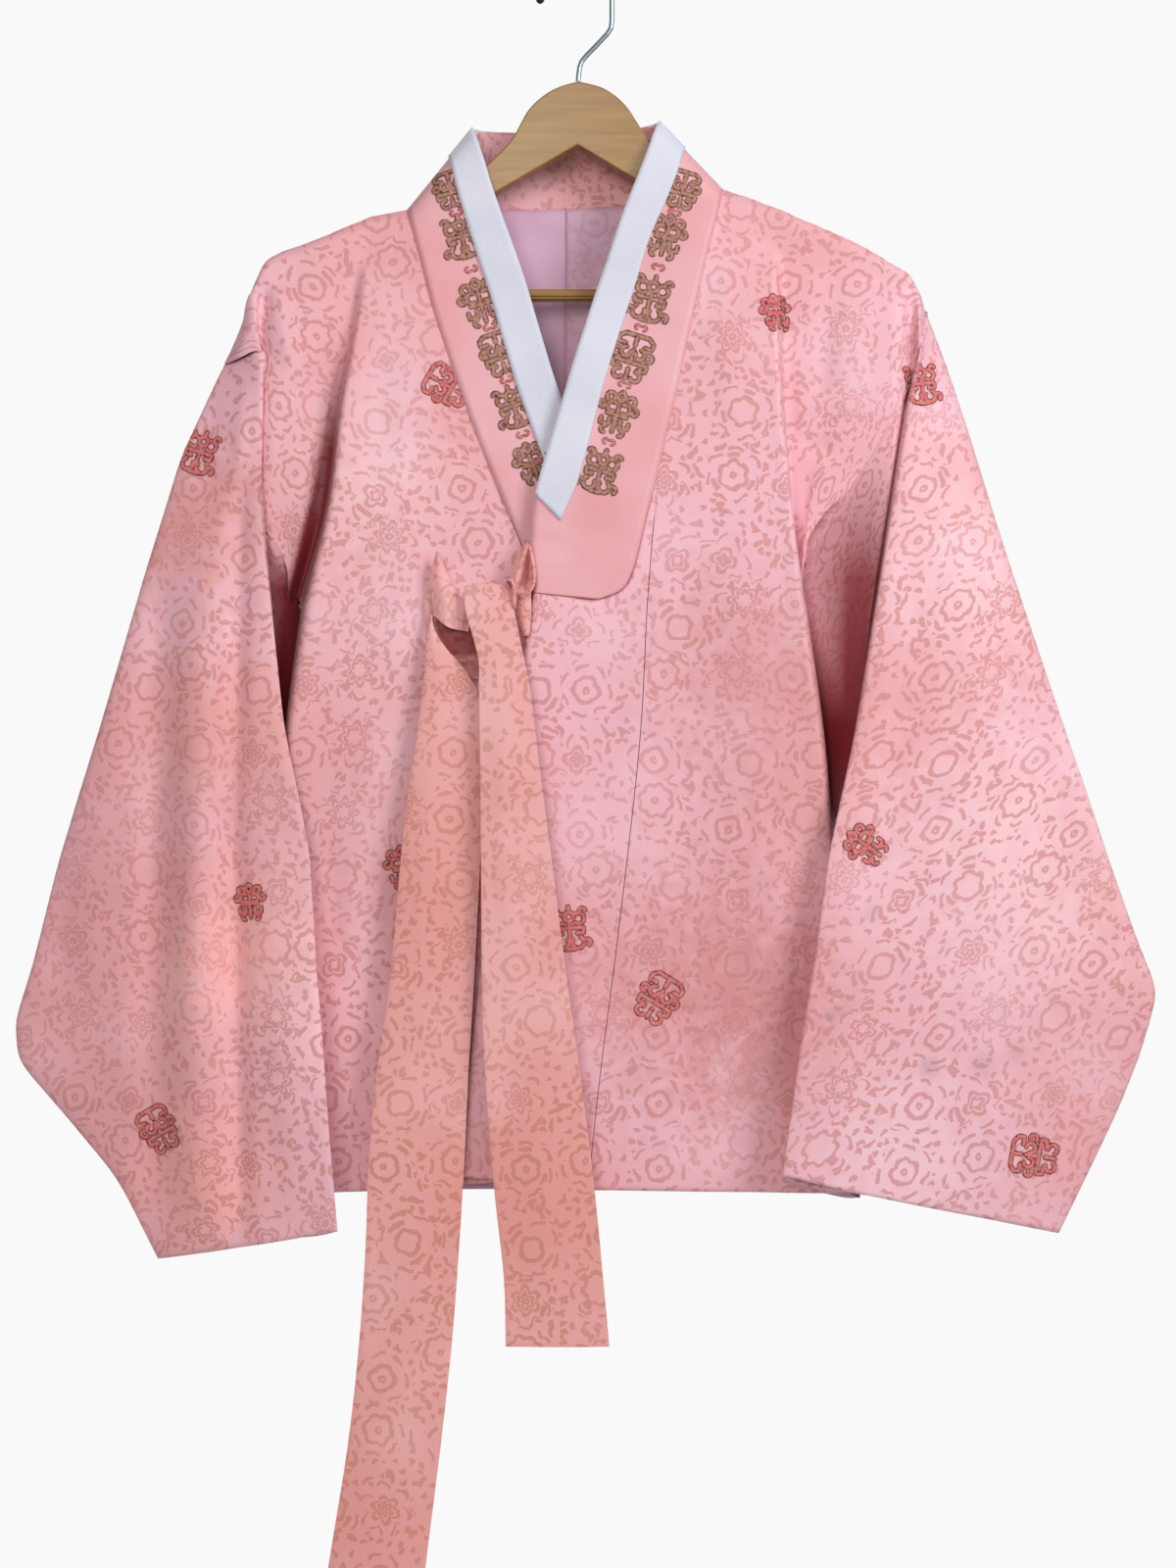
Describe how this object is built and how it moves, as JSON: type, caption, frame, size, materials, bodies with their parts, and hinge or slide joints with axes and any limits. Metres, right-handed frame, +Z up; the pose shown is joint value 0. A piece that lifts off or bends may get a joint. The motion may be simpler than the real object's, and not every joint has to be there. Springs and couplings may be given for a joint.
{
  "type": "korean hanbok jacket (jeogori) on a wooden hanger",
  "caption": "Figured silk Korean jacket with crossed collar, white collar band and long tied ribbons, hanging on a wooden hanger with a wire hook.",
  "frame": {"origin": "inside top of the hanger's hook, where a rail carries it", "axes": "+Z up, the wearer's front faces -Y, the wearer's left is at +X"},
  "size_m": [0.713, 0.0754, 1.0232],
  "materials": {
    "damask": "figured satin",
    "collar": "plain satin",
    "white_band": "matt, stiffened",
    "lining": "light satin",
    "wood": "clear satin lacquer",
    "steel": "bright",
    "black_ball": "dipped"
  },
  "bodies": {
    "root": {"front_right": "damask", "front_left": "damask", "back_right": "damask", "back_left": "damask", "sleeve_right": "damask", "sleeve_left": "damask", "overlap_outer": "damask", "overlap_inner": "damask", "collar_right": "collar", "collar_left": "collar", "collar_back": "collar", "white_band_right": "white_band", "white_band_left": "white_band", "white_band_back": "white_band", "lining_right": "lining", "lining_left": "lining", "ribbon_right_tail": "damask", "ribbon_left_tail": "damask", "ribbon_right_root": "damask", "ribbon_left_root": "damask", "knot_loop_right": "damask", "knot_loop_left": "damask", "knot_roll": "damask", "hanger_wood": "wood", "hanger_bar": "wood", "hanger_hook": "steel", "hook_ball": "black_ball"}
  },
  "joints": []
}
